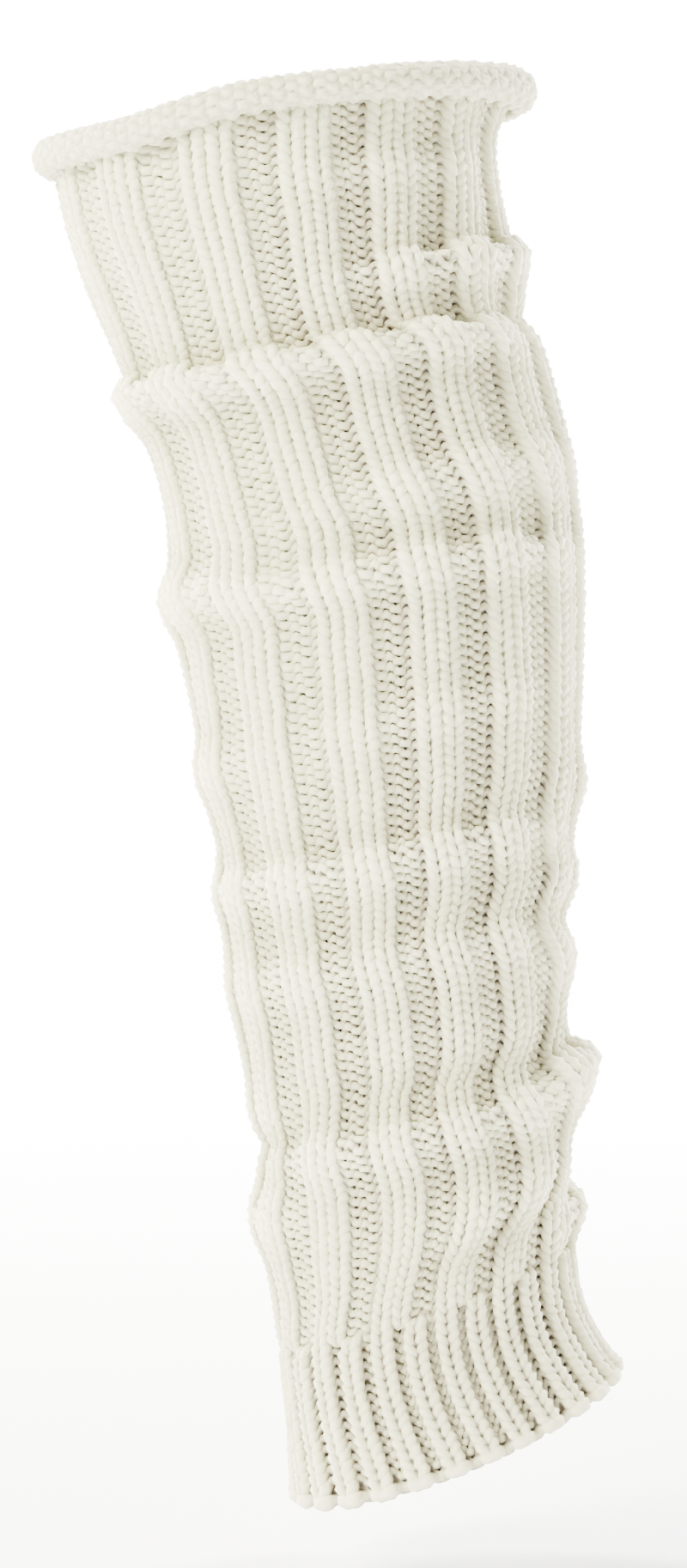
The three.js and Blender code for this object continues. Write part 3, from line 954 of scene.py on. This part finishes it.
# %% [markdown]
# The rolled edge is plain knitting. It curls outwards, so the side that shows is its back, all soft bumps.

# %% The rolled edge
EVEN_LOOPS = {
    "Loop height": 0.9,
    "Loop sway": 0.11,
    "Knit sway": 0.0,
    "Purl slant": 0.0,
    "Purl shift": 0.0,
    "Heads forward": 0.0,
    "Unevenness": 0.3,
}
PLAIN_KNIT = {"Repeat": 1.0, "Knit in repeat": 1.0}
soft_loops = {**EVEN_LOOPS, "Loop depth": 0.7 * MM, "Yarn radius": 1.6 * MM, "Knit fullness": 0.0}
rolled_edge = knit("rolled_edge_yarn", 1, ROLL_ROWS - 1, **PLAIN_KNIT, **soft_loops)

# %% [markdown]
# The leg is two-by-two rib: two knit stitches stand as four cords, and two purl stitches draw back into a
# channel of small waves.

# %% The leg
TWO_BY_TWO = {"Repeat": 4.0, "Knit in repeat": 2.0}
LEG_STRETCHES = 5
leg_loops = {
    **EVEN_LOOPS,
    "Loop depth": 1.2 * MM,
    "Yarn radius": 1.5 * MM,
    "Knit fullness": 0.02,
    "Purl slant": 0.1,
    "Purl shift": 0.22,
}
cuts = np.linspace(LEG_FROM, CUFF_FROM, LEG_STRETCHES + 1).round().astype(int)
leg_yarns = [
    knit(f"leg_yarn_{k + 1}", cuts[k], int(cuts[k + 1] - cuts[k]), **TWO_BY_TWO, **leg_loops)
    for k in range(LEG_STRETCHES)
]

# %% [markdown]
# The cuff is one-by-one rib, which pulls in harder, so that it holds on to the ankle.

# %% The cuff
ONE_BY_ONE = {"Repeat": 2.0, "Knit in repeat": 1.0}
cuff_loops = {**EVEN_LOOPS, "Loop depth": 1.2 * MM, "Yarn radius": 1.5 * MM, "Knit fullness": 0.08}
cuff_yarn = knit("cuff_yarn", CUFF_FROM, CUFF_ROWS - 1, **ONE_BY_ONE, **cuff_loops)

# %% [markdown]
# The last row is cast off: each stitch is drawn over the next, which leaves a thick soft cord along the edge.
# It is a closed ring, and the two cords of each rib end in it.

# %% The hem
HEM_ROW = ALL_ROWS - 0.6  # the cord overlaps the ends of the ribs
hem_loops = {
    **cuff_loops,
    "Heads forward": 1.0 * MM,
    "Loop height": 0.12,
    "Loop depth": 0.3 * MM,
    "Loop sway": 0.0,
    "Yarn radius": 1.9 * MM,
    "Rows per round": 0.0,
}
hem_yarn = knit("hem_yarn", HEM_ROW, 1, **ONE_BY_ONE, **hem_loops)

# %% [markdown]
# The backing lies just under the yarn and follows the same chart, ribs and folds and all. It is one closed
# shell, open at the knee and at the ankle as the cloth is.

# %% The backing
HAZE_THICK, HAZE_IN = 0.8, 1.2  # how thick it is, and how far its middle lies under the yarn's
HAZE_FROM, HAZE_TO, HAZE_ROWS = 1, ALL_ROWS - 0.8, 101  # from inside the curl to just above the cord
HAZE_ACROSS = 2  # points for each stitch
haze_rows = np.linspace(HAZE_FROM, HAZE_TO, HAZE_ROWS)
haze_wales = spaced(-CHART_SPARE, WALES + CHART_SPARE, 1 / HAZE_ACROSS)
haze_at, haze_out, _, _ = cloth_grid(haze_wales, haze_rows)
one_round = slice(CHART_SPARE * HAZE_ACROSS, (CHART_SPARE + WALES) * HAZE_ACROSS)
haze_at, haze_out = haze_at[:, one_round], haze_out[:, one_round]
tall, wide = haze_at.shape[:2]
outer_face = haze_at + haze_out * (HAZE_THICK / 2 - HAZE_IN)
inner_face = haze_at - haze_out * (HAZE_THICK / 2 + HAZE_IN)
shell = np.concatenate([outer_face, inner_face[::-1]])
ringed = np.arange(2 * tall)[:, None] * wide + np.arange(wide)[None, :]
down_one, next_one = np.roll(ringed, -1, axis=0), np.roll(ringed, -1, axis=1)
shell_faces = np.stack([ringed, down_one, np.roll(down_one, -1, axis=1), next_one], -1).reshape(-1, 4)
# the backing carries the painted shade seen between the loops
backing = new_object("wool_backing", shell, shell_faces)
backing.data.materials.append(gap_shade)
is_inner = backing.data.attributes.new("inner_face", "FLOAT", "POINT")
is_inner.data.foreach_set("value", np.repeat([0.0, 1.0], tall * wide))
bpy.data.objects.remove(chart)
print("backing:", tall, "rows of", wide, "points on each side")

# %% [markdown]
# ## Paper and light
#
# The leg warmer stands in front of white paper that comes down a wall and runs out over the floor in one
# soft curve. The wall is far off, so that a camera can also go round behind.

# %% The paper
PAPER_FRONT, PAPER_WALL, PAPER_TOP, PAPER_SIDE = -4.5, 3.8, 3.6, 5.0  # in metres
PAPER_BEND = 1.0  # the radius of the curve
HANG = 0.02  # how far the hem hangs above the floor
paper, paper_tree, paper_shader = new_material("paper")
paper_shader.inputs["Base Color"].default_value = (0.95, 0.95, 0.95, 1)
paper_shader.inputs["Roughness"].default_value = 1.0
turns = np.radians(spaced(0, 90, 10))
bend = [(PAPER_WALL + PAPER_BEND * (math.sin(a) - 1), PAPER_BEND * (1 - math.cos(a))) for a in turns]
profile = [(PAPER_FRONT, 0.0), *bend, (PAPER_WALL, PAPER_TOP)]
floor_z = CAD_BOX[0][2] - HANG
sweep = np.array([[(x, y, z + floor_z) for x in (-PAPER_SIDE, PAPER_SIDE)] for y, z in profile]) / MM
stage = new_object("paper_sweep", sweep, grid_faces(len(profile), 2)[:, ::-1])
stage.data.materials.append(paper)
stage.data.polygons.foreach_set("use_smooth", [True] * len(stage.data.polygons))
print("paper:", len(profile), "lines, floor at", round(floor_z, 3), "m")

# %% [markdown]
# A large soft light high on the left grazes the cloth, so that every rib and fold has a lit side and a soft
# shade. A weak one on the right keeps the shade open. Both are a little warm. Two more light the paper only.

# %% The lights
ROOM_LIGHT = 0.3
WARM = (1.0, 0.98, 0.75)
world = bpy.context.scene.world or bpy.data.worlds.new("studio")
world.use_nodes = True
world.node_tree.nodes["Background"].inputs["Color"].default_value = (1, 1, 1, 1)
world.node_tree.nodes["Background"].inputs["Strength"].default_value = ROOM_LIGHT
bpy.context.scene.world = world


def soft_box(name, location, target, size, power, tint=(1, 1, 1)):
    """A square light that faces its target."""
    data = bpy.data.lights.new(name, "AREA")
    data.shape = "SQUARE"
    data.size = size
    data.energy = power
    data.color = tint
    lamp = bpy.data.objects.new(name, data)
    lamp.location = location
    lamp.rotation_euler = (Vector(target) - Vector(location)).to_track_quat("-Z", "Y").to_euler()
    bpy.context.collection.objects.link(lamp)
    print(name, "light:", size, "m across,", power, "W")


soft_box("key", (-1.35, -1.05, 1.1), (0, 0, -0.05), 0.9, 205, WARM)
soft_box("fill", (1.6, -0.9, 0.3), (0, 0, -0.05), 0.9, 36, WARM)
soft_box("paper_left", (-1.8, 1.5, 1.5), (0.3, 3.4, -0.1), 1.2, 850)
soft_box("paper_right", (1.8, 1.5, 1.5), (-0.3, 3.4, -0.1), 1.2, 850)

# %% [markdown]
# ## What each piece is
#
# Nothing moves by itself, so every piece rides on the one body. The yarn takes the place of the plain solids
# it covers, and the backing lies under the whole cloth, which, slit and laid out, would be 33 cm round and 42
# cm long.

# %% Declarations
pieces = [rolled_edge, *leg_yarns, cuff_yarn, hem_yarn]
for piece in [*pieces, backing]:
    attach(piece, "root")
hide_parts("rolled_top_edge")
for piece in leg_yarns:
    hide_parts("ribbed_leg")
for piece in (cuff_yarn, hem_yarn):
    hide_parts("ankle_cuff")
